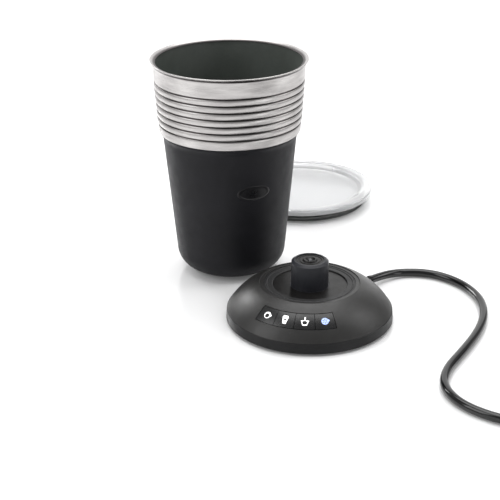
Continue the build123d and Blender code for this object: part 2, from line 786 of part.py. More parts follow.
with BuildPart() as inner_pot:
    # Coated vessel: conical wall with a soft shoulder, floor, and a column over the socket.
    with BuildSketch(CUP_SIDE) as pot_outer:
        with BuildLine():
            Polyline((0, POT_FLOOR), POT_LOW, POT_NECK, POT_SHOULDER, POT_RIM, (0, POT_RIM[1]), close=True)
        make_face()
        soften(pot_outer, POT_LOW, POT_CORNER)
        soften(pot_outer, POT_NECK, POT_BEND)
        soften(pot_outer, POT_SHOULDER, POT_BEND)
    revolve(axis=CUP_AXIS)
    inner_low = (POT_LOW[0] - POT_SHEET, POT_FLOOR + 0.9)
    with BuildSketch(CUP_SIDE) as pot_inner:
        with BuildLine():
            Polyline(
                (COLUMN_R, POT_FLOOR + 0.9),
                inner_low,
                inward(POT_NECK),
                inward(POT_SHOULDER),
                (POT_RIM[0] - POT_SHEET, POT_RIM[1]),
                (0, POT_RIM[1]),
                (0, COLUMN_TOP),
                (COLUMN_R, COLUMN_TOP),
                close=True,
            )
        make_face()
        soften(pot_inner, inner_low, POT_CORNER - 0.8)
        soften(pot_inner, (COLUMN_R, COLUMN_TOP), 1.6)
        soften(pot_inner, inward(POT_NECK), POT_BEND)
        soften(pot_inner, inward(POT_SHOULDER), POT_BEND)
    revolve(axis=CUP_AXIS, mode=Mode.SUBTRACT)
    with BuildSketch(level(CUP_AT, POT_FLOOR - 2.0)):
        with PolarLocations(STUD_RING, 3, 30):
            Circle(1.9)
    extrude(amount=2.4)
    with BuildSketch(level(CUP_AT, 0)):
        Circle(COLUMN_R - 0.8)
    extrude(amount=COLUMN_TOP - 0.8, mode=Mode.SUBTRACT)
    with BuildSketch(level(CUP_AT, POT_FLOOR - 2.0)):
        with PolarLocations(STUD_RING, 3, 30):
            Circle(1.05)
    extrude(amount=1.8, mode=Mode.SUBTRACT)
save(inner_pot, "inner_pot")

with BuildPart() as emblem_badge:
    # Plain oval badge that follows the sleeve's wall.
    badge_low = EMBLEM_HEIGHT - 9.0
    badge_high = EMBLEM_HEIGHT + 9.0
    badge_section = [
        (sleeve_radius(badge_low) - 0.6, badge_low),
        (sleeve_radius(badge_low) + 0.3, badge_low),
        (sleeve_radius(badge_high) + 0.3, badge_high),
        (sleeve_radius(badge_high) - 0.6, badge_high),
    ]
    badge_face = upright(CUP_AT, EMBLEM_BEARING)
    with BuildSketch(Plane(origin=badge_face.origin, x_dir=-badge_face.z_dir, z_dir=badge_face.x_dir)):
        with Locations((0, EMBLEM_HEIGHT)):
            Ellipse(13.0, 5.75)
    extrude(amount=70.0)
    revolve(outline(badge_section, CUP_SIDE), axis=CUP_AXIS, mode=Mode.INTERSECT)
save(emblem_badge, "emblem_badge")

with BuildPart() as silicone_sleeve:
    with BuildSketch(CUP_SIDE) as sleeve_section:
        with BuildLine():
            Polyline(
                (CUP_FOOT_R - 5.0, SLEEVE_FOOT),
                (SLEEVE_FOOT_R, SLEEVE_FOOT),
                (SLEEVE_TOP_R, SLEEVE_TOP),
                (52.3, 110.6),
                (52.3, BAND_LOW - 0.1),
                (49.9, BAND_LOW - 0.1),
                (POT_NECK[0] + 0.4, POT_NECK[1] - 0.4),
                (37.6, 15.5),
                (35.6, 9.4),
                (SLEEVE_HOLE_R, 6.0),
                (CUP_FOOT_R - 5.0, 6.0),
                close=True,
            )
        make_face()
        soften(sleeve_section, (SLEEVE_FOOT_R, SLEEVE_FOOT), SLEEVE_CORNER)
    revolve(axis=CUP_AXIS)
    with BuildSketch(level(CUP_AT, 0)):
        Circle(SLEEVE_HOLE_R)
    extrude(amount=7.0, mode=Mode.SUBTRACT)
    add(emblem_badge.part, mode=Mode.SUBTRACT)
save(silicone_sleeve, "silicone_sleeve")

with BuildPart() as cup_foot:
    foot_section = [
        (15.4, 0.4),
        (15.8, 0),
        (CUP_FOOT_R - 0.8, 0),
        (CUP_FOOT_R, 0.8),
        (CUP_FOOT_R, 1.5),
        (SLEEVE_HOLE_R - 0.3, 2.6),
        (SLEEVE_HOLE_R - 0.3, 5.0),
        (15.4, 5.0),
    ]
    revolve(outline(foot_section, CUP_SIDE), axis=CUP_AXIS)
    with BuildSketch(level(CUP_AT, 0)):
        with PolarLocations(STUD_RING, 3, 30):
            Circle(2.3)
    extrude(amount=2.2, mode=Mode.SUBTRACT)
    with BuildSketch(level(CUP_AT, 0)):
        with PolarLocations(STUD_RING, 3, 30):
            Circle(1.2)
    extrude(amount=5.0, mode=Mode.SUBTRACT)
save(cup_foot, "cup_foot")

with BuildPart() as foot_screws:
    with BuildSketch(level(CUP_AT, 0.8)):
        with PolarLocations(STUD_RING, 3, 30):
            Circle(2.1)
    extrude(amount=1.4)
    with BuildSketch(level(CUP_AT, 2.1)):
        with PolarLocations(STUD_RING, 3, 30):
            Circle(1.0)
    extrude(amount=4.6)
save(foot_screws, "foot_screws")

with BuildPart() as drive_socket:
    socket_section = [
        (14.3, 0.3),
        (SOCKET_R, 0.9),
        (SOCKET_R, SOCKET_ROOF),
        (0, SOCKET_ROOF),
        (0, SOCKET_ROOF + 1.0),
        (COLUMN_R - 1.0, SOCKET_ROOF + 1.0),
        (COLUMN_R - 1.0, 0.3),
    ]
    revolve(outline(socket_section, CUP_SIDE), axis=CUP_AXIS)
save(drive_socket, "drive_socket")

with BuildPart() as heating_disc:
    with BuildSketch(level(CUP_AT, POT_FLOOR - 1.8)):
        Circle(27.4)
        Circle(COLUMN_R, mode=Mode.SUBTRACT)
        with PolarLocations(STUD_RING, 3, 30):
            Circle(2.3, mode=Mode.SUBTRACT)
    extrude(amount=1.75)
save(heating_disc, "heating_disc")

with BuildPart() as foot_seal:
    with BuildSketch(CUP_SIDE):
        with Locations((29.0, 5.97)):
            Circle(0.95)
    revolve(axis=CUP_AXIS)
save(foot_seal, "foot_seal")

# ---------------------------------------------------------------- whisk
PIN_R = 1.6
PIN_FLANGE_R = 2.7
PIN_TOP = 31.8
SKIRT_R = 20.6
SKIRT_BORE = 17.2
WHISK_RING_R = 24.3
WHISK_RING_Z = 13.2
WHISK_WIRE_R = 2.3
MAGNET_RING = 18.9
WHISK_MAGNET_R = 1.25

with BuildPart() as spindle_pin:
    pin_section = [
        (0, COLUMN_TOP),
        (PIN_FLANGE_R, COLUMN_TOP),
        (PIN_FLANGE_R, COLUMN_TOP + 0.8),
        (PIN_R, COLUMN_TOP + 1.2),
        (PIN_R, PIN_TOP - 0.8),
        (PIN_R - 0.8, PIN_TOP),
        (0, PIN_TOP),
    ]
    revolve(outline(pin_section, CUP_SIDE), axis=CUP_AXIS)
save(spindle_pin, "spindle_pin")

with BuildPart() as whisk_bush:
    whisk_bush_section = [
        (PIN_R + 0.06, 23.9),
        (4.8, 23.9),
        (4.8, 24.7),
        (3.2, 24.7),
        (3.2, 31.7),
        (4.2, 31.7),
        (4.2, 32.4),
        (3.6, 32.9),
        (0, 32.9),
        (0, 32.1),
        (PIN_R + 0.06, 32.1),
    ]
    revolve(outline(whisk_bush_section, CUP_SIDE), axis=CUP_AXIS)
save(whisk_bush, "whisk_bush")

with BuildPart() as whisk_coil:
    with BuildSketch(CUP_SIDE):
        with Locations((WHISK_RING_R, WHISK_RING_Z)):
            Circle(WHISK_WIRE_R)
    revolve(axis=CUP_AXIS)
save(whisk_coil, "whisk_coil")

with BuildPart() as whisk_magnets:
    with BuildSketch(level(CUP_AT, 12.0)):
        with PolarLocations(MAGNET_RING, 4, 45):
            Circle(WHISK_MAGNET_R)
    extrude(amount=8.0)
save(whisk_magnets, "whisk_magnets")

with BuildPart() as whisk_cap:
    # Bored boss and crown, over the skirt.
    cap_section = [
        (3.26, 24.95),
        (8.0, 24.95),
        (9.0, 25.6),
        (SKIRT_R, 25.6),
        (SKIRT_R, 25.8),
        (SKIRT_R - 2.2, 27.8),
        (8.0, 28.6),
        (6.0, 31.4),
        (3.26, 31.4),
    ]
    revolve(outline(cap_section, CUP_SIDE), axis=CUP_AXIS)
save(whisk_cap, "whisk_cap")

with BuildPart() as whisk_skirt:
    # Ring round the pot's column, with pockets for the magnets and four arms to the spring.
    with BuildSketch(level(CUP_AT, 10.0)):
        Circle(SKIRT_R)
        Circle(SKIRT_BORE, mode=Mode.SUBTRACT)
    extrude(amount=15.55)
    with BuildSketch(level(CUP_AT, WHISK_RING_Z - 0.8)):
        with PolarLocations(22.3, 4):
            Rectangle(4.6, 2.4)
    extrude(amount=1.6)
    with BuildSketch(level(CUP_AT, 12.0)):
        with PolarLocations(MAGNET_RING, 4, 45):
            Circle(WHISK_MAGNET_R)
    extrude(amount=8.0, mode=Mode.SUBTRACT)
    add(whisk_coil.part, mode=Mode.SUBTRACT)
save(whisk_skirt, "whisk_skirt")

# ---------------------------------------------------------------- lid
with BuildPart() as lid_plate:
    lid_section = [
        (LID_R, LID_RIM),
        (LID_R, LID_TOP - 0.6),
        (LID_R - 0.6, LID_TOP),
        (56.0, LID_TOP),
        (49.3, LID_FLOOR),
        (0, LID_FLOOR),
        (0, LID_FLOOR - LID_WALL),
        (LID_PLUG_R - LID_WALL, LID_FLOOR - LID_WALL),
        (LID_PLUG_R - LID_WALL, 0),
        (LID_PLUG_R, 0),
        (LID_PLUG_R, LID_TOP - LID_WALL),
        (LID_R - LID_WALL, LID_TOP - LID_WALL),
        (LID_R - LID_WALL, LID_RIM),
    ]
    revolve(outline(lid_section, LID_SIDE), axis=LID_AXIS)
save(lid_plate, "lid_plate")

SEAL_R = 54.4
FIN_R = 56.3
FIN_COUNT = 3
FIN_PITCH = 2.7

with BuildPart() as lid_seal:
    seal_points = [(LID_PLUG_R, 0.2), (SEAL_R, 0.2)]
    for fin in range(FIN_COUNT):
        fin_z = 0.7 + fin * FIN_PITCH
        seal_points += [(SEAL_R, fin_z), (FIN_R, fin_z + 0.7), (FIN_R, fin_z + 1.1), (SEAL_R, fin_z + 1.4)]
    seal_points += [(SEAL_R, 8.8), (LID_PLUG_R, 8.8)]
    revolve(outline(seal_points, LID_SIDE), axis=LID_AXIS)
save(lid_seal, "lid_seal")

# ---------------------------------------------------------------- mains lead
# The route's points are laid by hand, from the base's centre.
CORD_START = EXIT_OUT * (BASE_R + EXIT_LENGTH)
LEAD_POINTS = [
    (CORD_START.X, CORD_START.Y, EXIT_Z),
    (59.6, 63.4, 4.2),
    (76.5, 70.2, CORD_Z),
    (95.5, 68.0, CORD_Z),
    (110.5, 57.0, CORD_Z),
    (121.5, 40.5, CORD_Z),
    (127.5, 18.0, CORD_Z),
    (125.0, -8.0, CORD_Z),
    (115.5, -34.0, CORD_Z),
    (101.0, -61.0, CORD_Z),
    (87.0, -85.0, CORD_Z),
    (82.0, -108.0, CORD_Z),
    (89.5, -130.0, CORD_Z),
    (107.0, -146.5, CORD_Z),
    (129.0, -156.5, CORD_Z),
    (151.0, -160.5, CORD_Z),
]
COIL_CENTRE = (165.0, -125.0)
TAIL_X = COIL_CENTRE[0] + COIL_R
TAIL_POINTS = [
    (TAIL_X, -108.0, 8.9),
    (TAIL_X + 1.2, -96.0, 10.6),
    (TAIL_X, -84.0, PLUG_Z),
    (TAIL_X, -73.0, PLUG_Z),
]


def from_base(points):
    """Points measured from the base's centre, in the frame of the set."""
    return [Vector(x + BASE_AT[0], y + BASE_AT[1], z) for x, y, z in points]


def bend_radii(route):
    """The arc at each corner takes 0.45 of the shorter run beside it."""
    radii = []
    for before, corner, after in zip(route, route[1:], route[2:]):
        half_turn = math.radians((corner - before).get_angle(after - corner)) / 2
        shorter = min((corner - before).length, (after - corner).length)
        radii.append(0.45 * shorter / math.tan(half_turn))
    return radii


def lead_tube(points, name):
    """A round tube of straight runs and tangent arcs along a route."""
    route = from_base(points)
    radii = bend_radii(route)
    with BuildPart() as tube:
        with BuildLine() as path:
            FilletPolyline(*route, radius=radii)
        spine = path.wire()
        with BuildSketch(Plane(origin=spine @ 0, z_dir=spine % 0)):
            Circle(CORD_R)
        sweep(path=spine)
    filled = tube.part.volume / (math.pi * CORD_R**2 * spine.length)
    print(name, "radii", [round(radius, 1) for radius in radii])
    print(name, "length", round(spine.length, 1), "volume over section times length", round(filled, 4))
    save(tube, name)


lead_tube(LEAD_POINTS, "power_cord")
lead_tube(TAIL_POINTS, "cord_tail")

with BuildPart() as cord_coil:
    # The stored turns as one closed ring.
    coil_at = (BASE_AT[0] + COIL_CENTRE[0], BASE_AT[1] + COIL_CENTRE[1])
    with BuildSketch(upright(coil_at)):
        with Locations((COIL_R, COIL_HEIGHT / 2)):
            RectangleRounded(2 * COIL_HALF_WIDTH, COIL_HEIGHT, CORD_R)
    revolve(axis=up_axis(coil_at))
save(cord_coil, "cord_coil")

PLUG_AT = (BASE_AT[0] + TAIL_X, BASE_AT[1] - 73.0)
BOOT_LENGTH = 22.0
PLUG_LENGTH = 36.0
PIN_SPACING = 19.0
PLUG_PIN_R = 2.4
PLUG_PIN_LENGTH = 19.0


def plug_plane(along):
    """Plane across the plug, a distance along from the boot's tip."""
    return Plane(origin=(PLUG_AT[0], PLUG_AT[1] + along, PLUG_Z), x_dir=(1, 0, 0), z_dir=(0, 1, 0))


with BuildPart() as plug_boot:
    with BuildSketch(plug_plane(0)):
        Circle(CORD_R + 0.9)
    with BuildSketch(plug_plane(BOOT_LENGTH)):
        Circle(6.2)
    loft()
save(plug_boot, "plug_boot")

with BuildPart() as plug_body:
    with BuildSketch(plug_plane(BOOT_LENGTH)):
        RectangleRounded(17.0, 15.0, 6.0)
    with BuildSketch(plug_plane(BOOT_LENGTH + PLUG_LENGTH - 12.0)):
        RectangleRounded(PLUG_WIDTH - 6.0, PLUG_THICK - 4.0, 9.0)
    loft()
    with BuildSketch(plug_plane(BOOT_LENGTH + PLUG_LENGTH - 12.0)):
        RectangleRounded(PLUG_WIDTH, PLUG_THICK, 12.0)
    extrude(amount=12.0)
save(plug_body, "plug_body")

with BuildPart() as plug_pins:
    with BuildSketch(plug_plane(BOOT_LENGTH + PLUG_LENGTH)):
        with GridLocations(PIN_SPACING, 1, 2, 1):
            Circle(PLUG_PIN_R)
    extrude(amount=PLUG_PIN_LENGTH)
    chamfer(plug_pins.faces().sort_by(Axis.Y)[-2:].edges(), 0.8)
save(plug_pins, "plug_pins")
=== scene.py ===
import json
import math

import bmesh
import bpy
from mathutils import Matrix, Vector


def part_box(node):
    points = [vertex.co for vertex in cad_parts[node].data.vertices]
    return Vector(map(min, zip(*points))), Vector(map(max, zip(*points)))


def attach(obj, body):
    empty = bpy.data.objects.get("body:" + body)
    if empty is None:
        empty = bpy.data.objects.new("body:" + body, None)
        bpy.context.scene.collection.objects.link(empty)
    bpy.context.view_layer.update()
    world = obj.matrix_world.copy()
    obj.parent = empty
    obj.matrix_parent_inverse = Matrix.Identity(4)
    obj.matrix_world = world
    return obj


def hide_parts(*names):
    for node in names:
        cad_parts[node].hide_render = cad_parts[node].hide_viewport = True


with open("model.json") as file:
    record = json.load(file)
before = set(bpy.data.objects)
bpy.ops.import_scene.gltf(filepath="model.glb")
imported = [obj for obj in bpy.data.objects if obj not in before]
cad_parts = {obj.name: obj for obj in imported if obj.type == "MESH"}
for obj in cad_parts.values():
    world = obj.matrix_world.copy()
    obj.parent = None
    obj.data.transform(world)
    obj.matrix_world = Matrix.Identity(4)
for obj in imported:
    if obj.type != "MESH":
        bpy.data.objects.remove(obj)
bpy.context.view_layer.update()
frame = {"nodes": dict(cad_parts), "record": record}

MM = 0.001
ROUND = 224  # segments of a turned piece
TURNED_EDGE = 38  # degrees; a sharper edge of a turned piece is shaded sharp
CAD_EDGE = 28  # the same for a CAD node
BAND_LOW, BAND_LOW_R = 111.9, 53.5  # steel collar, in millimetres
BAND_TOP, BAND_TOP_R = 165.0, 57.1
LIP_R, LIP_TOP = 59.2, 166.4
UNDER_LIP = 164.3  # height of the painted shade line under the lip
LIP_SHADE = 130.0  # how quickly that painted shade line fades, per metre
GROOVE_FIRST, GROOVE_PITCH, GROOVE_COUNT = 119.0, 5.3, 7
GROOVE_DEPTH, GROOVE_REACH = 0.62, 0.62
BEAD_RISE = 0.42
STEPS_PER_BEAD = 14


# ------------------------------------------------------------------ places, from the frame
def axis_of(node):
    """The vertical axis of a round node, as a point on the floor."""
    low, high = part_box(node)
    return Vector(((low.x + high.x) / 2, (low.y + high.y) / 2, 0))


BASE = axis_of("bottom_tray")
CUP = axis_of("steel_band")
LID = axis_of("lid_plate")

# ------------------------------------------------------------------ camera
CAMERA_AT = Vector((-16.7, -985.45, 433.4)) * MM
CAMERA_DOWN = 23.67  # degrees below the horizon
CAMERA_ROLL = -0.4
CAMERA_LENS = 96.48


def make_camera():
    camera = bpy.data.objects.new("camera", bpy.data.cameras.new("camera"))
    bpy.context.scene.collection.objects.link(camera)
    camera.data.sensor_width = 36.0
    camera.data.lens = CAMERA_LENS
    camera.data.clip_end = 20.0
    tilt = Matrix.Rotation(math.radians(90 - CAMERA_DOWN), 4, "X")
    roll = Matrix.Rotation(math.radians(CAMERA_ROLL), 4, "Z")
    camera.matrix_world = Matrix.Translation(CAMERA_AT) @ tilt @ roll
    bpy.context.scene.camera = camera


make_camera()

# ------------------------------------------------------------------ mains lead
CORD_R = 3.1
CORD_Z = 3.15
EXIT_Z = 5.4
COIL_AT = Vector((165.0, -125.0, 0))
TAIL_X = 199.0
# The route's points, from the base's centre, in millimetres.
LEAD_ROUTE = [
    (49.29, 52.49, EXIT_Z),
    (59.6, 63.4, 4.2),
    (76.5, 70.2, CORD_Z),
    (95.5, 68.0, CORD_Z),
    (110.5, 57.0, CORD_Z),
    (121.5, 40.5, CORD_Z),
    (127.5, 18.0, CORD_Z),
    (125.0, -8.0, CORD_Z),
    (115.5, -34.0, CORD_Z),
    (101.0, -61.0, CORD_Z),
    (87.0, -85.0, CORD_Z),
    (82.0, -108.0, CORD_Z),
    (89.5, -130.0, CORD_Z),
    (107.0, -146.5, CORD_Z),
    (129.0, -156.5, CORD_Z),
    (151.0, -160.5, CORD_Z),
]
TAIL_ROUTE = [
    (TAIL_X, -108.0, 8.9),
    (TAIL_X + 1.2, -96.0, 10.6),
    (TAIL_X, -84.0, 13.0),
    (TAIL_X, -73.0, 13.0),
]
COIL_TURNS = 2.25
COIL_STEP = 20  # degrees between the coil's points


def coil_points():
    """Turns side by side, then the last part of a turn lying on top of them."""
    points = []
    steps = int(COIL_TURNS * 360 / COIL_STEP)
    for step in range(1, steps + 1):
        turned = step * COIL_STEP / 360
        radius = 37.4 - 6.6 * min(turned, 1.0) + 3.4 * max(0.0, min(1.0, (turned - 1.1) / 0.7))
        height = CORD_Z + 5.6 * max(0.0, min(1.0, (turned - 1.15) / 0.6))
        angle = math.radians(-90 + step * COIL_STEP)
        points.append((COIL_AT.x + radius * math.cos(angle), COIL_AT.y + radius * math.sin(angle), height))
    return points


def make_cord():
    route = [*LEAD_ROUTE, *coil_points(), *TAIL_ROUTE]
    curve = bpy.data.curves.new("mains_lead", "CURVE")
    curve.dimensions = "3D"
    curve.bevel_depth = CORD_R * MM
    curve.bevel_resolution = 8
    curve.resolution_u = 14
    curve.use_fill_caps = True
    spline = curve.splines.new("NURBS")
    spline.points.add(len(route) - 1)
    for point, place in zip(spline.points, route):
        point.co = (*(BASE + Vector(place) * MM), 1.0)
    spline.order_u = 3
    spline.use_endpoint_u = True
    cord = bpy.data.objects.new("mains_lead", curve)
    bpy.context.scene.collection.objects.link(cord)
    return cord


cord = make_cord()


# ------------------------------------------------------------------ materials
def blank(name):
    """A new material with its node tree and its Principled shader."""
    material = bpy.data.materials.new(name)
    material.use_nodes = True
    tree = material.node_tree
    return material, tree, tree.nodes["Principled BSDF"]


def noise(tree, scale, detail=4.0, vector=None, roughness=0.55):
    node = tree.nodes.new("ShaderNodeTexNoise")
    node.inputs["Scale"].default_value = scale
    node.inputs["Detail"].default_value = detail
    node.inputs["Roughness"].default_value = roughness
    if vector is None:
        place = tree.nodes.new("ShaderNodeTexCoord")
        vector = place.outputs["Object"]
    tree.links.new(vector, node.inputs["Vector"])
    return node.outputs["Fac"]


def spread(tree, value, low, high, from_low=0.3, from_high=0.7):
    """The value stretched to a range."""
    node = tree.nodes.new("ShaderNodeMapRange")
    tree.links.new(value, node.inputs["Value"])
    node.inputs["From Min"].default_value = from_low
    node.inputs["From Max"].default_value = from_high
    node.inputs["To Min"].default_value = low
    node.inputs["To Max"].default_value = high
    return node.outputs["Result"]


def two_tone(tree, value, dark, light):
    node = tree.nodes.new("ShaderNodeValToRGB")
    tree.links.new(value, node.inputs["Fac"])
    node.color_ramp.elements[0].position = 0.32
    node.color_ramp.elements[1].position = 0.68
    node.color_ramp.elements[0].color = (*dark, 1)
    node.color_ramp.elements[1].color = (*light, 1)
    return node.outputs["Color"]


def bumped(tree, shader, value, strength, distance):
    node = tree.nodes.new("ShaderNodeBump")
    node.inputs["Strength"].default_value = strength
    node.inputs["Distance"].default_value = distance
    tree.links.new(value, node.inputs["Height"])
    tree.links.new(node.outputs["Normal"], shader.inputs["Normal"])


BLOTCH = 60.0  # scale of a surface's slow colour variation


def surface(name, dark, light, rough, grain, bump=0.15, metallic=0.0, specular=0.5):
    """Moulded or cast surface: slow colour variation, uneven roughness and a fine grain."""
    material, tree, shader = blank(name)
    tree.links.new(two_tone(tree, noise(tree, BLOTCH), dark, light), shader.inputs["Base Color"])
    uneven = spread(tree, noise(tree, BLOTCH * 2.3, 6.0), rough[0], rough[1])
    tree.links.new(uneven, shader.inputs["Roughness"])
    shader.inputs["Metallic"].default_value = metallic
    shader.inputs["Specular IOR Level"].default_value = specular
    bumped(tree, shader, noise(tree, grain, 3.0), bump, 0.0002)
    return material


def arithmetic(tree, operation, *inputs):
    """One maths node; each input is a number or another node's output."""
    node = tree.nodes.new("ShaderNodeMath")
    node.operation = operation
    for socket, value in zip(node.inputs, inputs):
        if isinstance(value, (int, float)):
            socket.default_value = value
        else:
            tree.links.new(value, socket)
    return node.outputs["Value"]


def round_about(tree):
    """Bearing round the object's vertical axis and height, as two values."""
    place = tree.nodes.new("ShaderNodeTexCoord")
    parts = tree.nodes.new("ShaderNodeSeparateXYZ")
    tree.links.new(place.outputs["Object"], parts.inputs["Vector"])
    bearing = arithmetic(tree, "ARCTAN2", parts.outputs["Y"], parts.outputs["X"])
    return bearing, parts.outputs["Z"]


def stretched(tree, bearing, bearing_scale, height, height_scale):
    """Texture place from the bearing and the height, each with its own scale."""
    node = tree.nodes.new("ShaderNodeCombineXYZ")
    tree.links.new(arithmetic(tree, "MULTIPLY", bearing, bearing_scale), node.inputs["X"])
    tree.links.new(arithmetic(tree, "MULTIPLY", height, height_scale), node.inputs["Z"])
    return node.outputs["Vector"]


def brushed_steel(name):
    """Steel brushed round the axis: fine scratches, soft streaks, and grooves made dull and dark with
    painted shade, plus a painted shade line under the lip.
    """
    material, tree, shader = blank(name)
    bearing, height = round_about(tree)
    lines = noise(tree, 1.0, 5.0, stretched(tree, bearing, 2.2, height, 5200.0), 0.7)
    streaks = noise(tree, 1.0, 3.0, stretched(tree, bearing, 3.0, height, 320.0))
    steel = two_tone(tree, streaks, (0.40, 0.385, 0.38), (0.54, 0.525, 0.515))
    # painted shade: the base colour falls towards near black at each groove
    pitches = arithmetic(tree, "MULTIPLY_ADD", height, 1000 / GROOVE_PITCH, -GROOVE_FIRST / GROOVE_PITCH)
    nearest = arithmetic(tree, "ROUND", pitches)
    groove = arithmetic(tree, "MINIMUM", arithmetic(tree, "MAXIMUM", nearest, 0), GROOVE_COUNT - 1)
    away = arithmetic(tree, "ABSOLUTE", arithmetic(tree, "SUBTRACT", pitches, groove))
    # painted shade: a dark line just under the lip, fading with distance from UNDER_LIP
    under_lip = arithmetic(tree, "ABSOLUTE", arithmetic(tree, "SUBTRACT", height, UNDER_LIP * MM))
    away = arithmetic(tree, "MINIMUM", away, arithmetic(tree, "MULTIPLY", under_lip, LIP_SHADE))
    mix = tree.nodes.new("ShaderNodeMix")
    mix.data_type = "RGBA"
    tree.links.new(spread(tree, away, 0.0, 1.0, 0.07, 0.17), mix.inputs["Factor"])
    # near-black colour of the painted shade in the grooves and under the lip
    mix.inputs["A"].default_value = (0.055, 0.048, 0.048, 1)
    tree.links.new(steel, mix.inputs["B"])
    tree.links.new(mix.outputs["Result"], shader.inputs["Base Color"])
    tree.links.new(spread(tree, lines, 0.24, 0.36), shader.inputs["Roughness"])
    shader.inputs["Metallic"].default_value = 1.0
    shader.inputs["Anisotropic"].default_value = 0.75
    bumped(tree, shader, lines, 0.12, 0.00006)
    return material


def coated_pot(name):
    """Non-stick coating: dark grey-green with fine lighter flecks and a satin sheen."""
    material, tree, shader = blank(name)
    base = two_tone(tree, noise(tree, 35.0), (0.062, 0.072, 0.064), (0.082, 0.092, 0.083))
    flecks = spread(tree, noise(tree, 2600.0, 2.0), 0.0, 1.0, 0.62, 0.75)
    mix = tree.nodes.new("ShaderNodeMix")
    mix.data_type = "RGBA"
    tree.links.new(flecks, mix.inputs["Factor"])
    tree.links.new(base, mix.inputs["A"])
    mix.inputs["B"].default_value = (0.16, 0.17, 0.16, 1)
    tree.links.new(mix.outputs["Result"], shader.inputs["Base Color"])
    tree.links.new(spread(tree, noise(tree, 300.0), 0.34, 0.46), shader.inputs["Roughness"])
    bumped(tree, shader, noise(tree, 2600.0, 3.0), 0.2, 0.0001)
    return material


def clear_plastic(name):
    """Clear lid: lightly tinted, glossy, with a faint moulding ripple."""
    material, tree, shader = blank(name)
    tint = two_tone(tree, noise(tree, 25.0), (0.84, 0.845, 0.855), (0.89, 0.895, 0.90))
    tree.links.new(tint, shader.inputs["Base Color"])
    tree.links.new(spread(tree, noise(tree, 90.0), 0.07, 0.13), shader.inputs["Roughness"])
    shader.inputs["Transmission Weight"].default_value = 0.72
    shader.inputs["IOR"].default_value = 1.49
    bumped(tree, shader, noise(tree, 40.0), 0.05, 0.0003)
    return material


def lit_icon(name, colour, strength):
    """Backlit pictogram with a slight falloff in its light."""
    material, tree, shader = blank(name)
    tone = two_tone(tree, noise(tree, 420.0), tuple(0.82 * c for c in colour), colour)
    tree.links.new(tone, shader.inputs["Base Color"])
    tree.links.new(tone, shader.inputs["Emission Color"])
    shader.inputs["Emission Strength"].default_value = strength
    tree.links.new(spread(tree, noise(tree, 500.0), 0.3, 0.42), shader.inputs["Roughness"])
    return material


